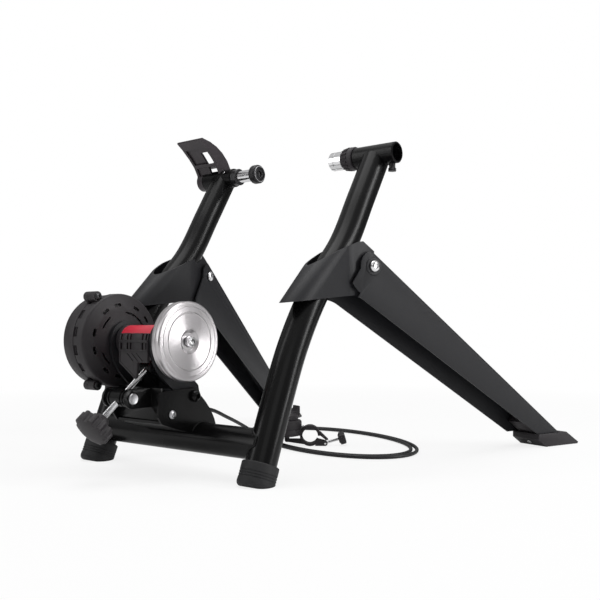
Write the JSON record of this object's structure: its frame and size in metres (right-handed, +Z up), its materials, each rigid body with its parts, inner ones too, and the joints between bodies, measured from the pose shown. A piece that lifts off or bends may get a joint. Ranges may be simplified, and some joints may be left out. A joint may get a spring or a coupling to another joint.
{
  "type": "wheel on turbo trainer",
  "caption": "Bent tube indoor bicycle stand with folding front legs, a quick axle clamp, and a tilting roller brake with flywheel and cable remote.",
  "frame": {"origin": "on the floor, in the middle of the part's length and width", "axes": "+X towards the front wheel of the bicycle, +Y towards the rider's left, +Z up; the wheel axle lies along Y 17.6 mm in front of the origin and 390 mm above the floor"},
  "size_m": [0.6716, 0.576, 0.4433],
  "materials": {
    "gloss_black_paint": "gloss black paint",
    "grey_powder_coat": "charcoal powder coat",
    "black_plastic": "matte moulded",
    "rubber": "matte",
    "chrome": "bright plating",
    "steel": "zinc plated",
    "turned_metal": "turned face",
    "red_rubber": "smooth"
  },
  "bodies": {
    "stand": {"leg_tube_left": "gloss_black_paint", "leg_tube_right": "gloss_black_paint", "foot_cap_left": "rubber", "foot_cap_right": "rubber", "cross_tube": "gloss_black_paint", "axle_barrel_right": "gloss_black_paint", "axle_barrel_left": "gloss_black_paint", "collar_left": "grey_powder_coat", "collar_right": "grey_powder_coat", "leg_bolt_left": "chrome", "leg_bolt_right": "chrome", "leg_nut_left": "steel", "leg_nut_right": "steel", "barrel_set_screw": "black_plastic", "clamp_bush": "chrome", "base_bracket": "gloss_black_paint", "adjuster_ears": "gloss_black_paint", "pivot_bolt": "gloss_black_paint", "pivot_nut": "steel", "tie_bolt": "steel", "cable_run": "rubber", "cable_coil": "rubber", "cable_tail": "rubber", "remote_body": "black_plastic"},
    "left_leg": {"folding_leg_left": "grey_powder_coat", "leg_shoe_left": "black_plastic", "shoe_screw_left": "steel"},
    "right_leg": {"folding_leg_right": "grey_powder_coat", "leg_shoe_right": "black_plastic", "shoe_screw_right": "steel"},
    "right_cup": {"axle_cup_right": "chrome"},
    "cup_lock": {"lock_ring": "steel"},
    "lever": {"clamp_lever": "black_plastic"},
    "plunger": {"clamp_plunger": "chrome", "clamp_insert": "black_plastic"},
    "unit": {"yoke": "grey_powder_coat", "roller_guard": "black_plastic", "drum_inner_shell": "black_plastic", "drum_outer_shell": "black_plastic", "drum_screw_1": "steel", "drum_screw_2": "steel", "drum_screw_3": "steel", "bearing_left": "steel", "bearing_right": "steel", "rod_pin": "steel"},
    "turning": {"roller": "red_rubber", "roller_shaft": "steel", "flywheel": "turned_metal", "flywheel_nut": "chrome", "rotor_disc": "steel"},
    "magnets": {"magnet_carrier": "black_plastic", "magnet_ring": "steel"},
    "swivel": {"swivel_nut": "gloss_black_paint"},
    "rod": {"adjuster_rod": "chrome"},
    "knob": {"adjuster_knob": "black_plastic"},
    "dial": {"remote_lever": "black_plastic"},
    "jaw": {"remote_jaw": "black_plastic"},
    "swing_screw": {"remote_screw": "chrome"},
    "jaw_knob": {"remote_knob": "black_plastic"}
  },
  "joints": [
    {"name": "left_leg_fold", "type": "hinge", "parent": "stand", "child": "left_leg", "pos_m": [-0.0298, 0.1479, 0.2428], "axis": [-0.3113, 0.9503, 0], "range_deg": [0, 34]},
    {"name": "right_leg_fold", "type": "hinge", "parent": "stand", "child": "right_leg", "pos_m": [-0.0298, -0.1479, 0.2428], "axis": [0.3113, 0.9503, 0], "range_deg": [0, 24]},
    {"name": "right_cup_slide", "type": "slide", "parent": "stand", "child": "right_cup", "axis": [0, 1, 0], "range_m": [0, 0.012]},
    {"name": "lock_ring_turn", "type": "hinge", "parent": "right_cup", "child": "cup_lock", "pos_m": [0.0176, -0.097, 0.39], "axis": [0, 1, 0], "continuous": true},
    {"name": "clamp_lever_turn", "type": "hinge", "parent": "stand", "child": "lever", "pos_m": [0.0176, 0.16, 0.39], "axis": [0, 1, 0], "range_deg": [0, 80]},
    {"name": "clamp_plunger_slide", "type": "slide", "parent": "stand", "child": "plunger", "axis": [0, 1, 0], "range_m": [0, 0.008]},
    {"name": "resistance_tilt", "type": "hinge", "parent": "stand", "child": "unit", "pos_m": [-0.2094, 0, 0.0905], "axis": [0, 1, 0], "range_deg": [0, 8]},
    {"name": "roller_spin", "type": "hinge", "parent": "unit", "child": "turning", "pos_m": [-0.2473, 0, 0.1537], "axis": [0, 1, 0], "continuous": true},
    {"name": "magnet_shift", "type": "slide", "parent": "unit", "child": "magnets", "axis": [0, 1, 0], "range_m": [0, 0.008]},
    {"name": "swivel_turn", "type": "hinge", "parent": "stand", "child": "swivel", "pos_m": [-0.2824, 0, 0.091], "axis": [0, 1, 0], "range_deg": [-1, 1]},
    {"name": "rod_slide", "type": "slide", "parent": "swivel", "child": "rod", "axis": [0.7716, 0, 0.6361], "range_m": [0, 0.007]},
    {"name": "adjuster_knob_turn", "type": "hinge", "parent": "rod", "child": "knob", "pos_m": [-0.2824, 0, 0.091], "axis": [0.7716, 0, 0.6361], "continuous": true},
    {"name": "remote_lever_turn", "type": "hinge", "parent": "stand", "child": "dial", "pos_m": [0.03041, 0.03449, 0.045], "axis": [0, 0, 1], "range_deg": [0, 120]},
    {"name": "remote_jaw_open", "type": "hinge", "parent": "stand", "child": "jaw", "pos_m": [0.03609, 0.02751, 0.0093], "axis": [0.776, 0.6307, 0], "range_deg": [0, 60]},
    {"name": "remote_screw_swing", "type": "hinge", "parent": "jaw", "child": "swing_screw", "pos_m": [0.07046, -0.01478, 0.0036], "axis": [-0.776, -0.6307, 0], "range_deg": [0, 30]},
    {"name": "remote_knob_turn", "type": "hinge", "parent": "swing_screw", "child": "jaw_knob", "pos_m": [0.07046, -0.01478, 0.0036], "axis": [0.6053, -0.7449, 0.2807], "continuous": true}
  ],
  "couplings": [
    {"joint": "clamp_plunger_slide", "follows": "clamp_lever_turn", "m_per_rad": 0.0057296},
    {"joint": "swivel_turn", "follows": "resistance_tilt", "ratio": -0.0226},
    {"joint": "rod_slide", "follows": "resistance_tilt", "m_per_rad": 0.046937},
    {"joint": "remote_lever_turn", "follows": "magnet_shift", "rad_per_m": 261.79}
  ]
}
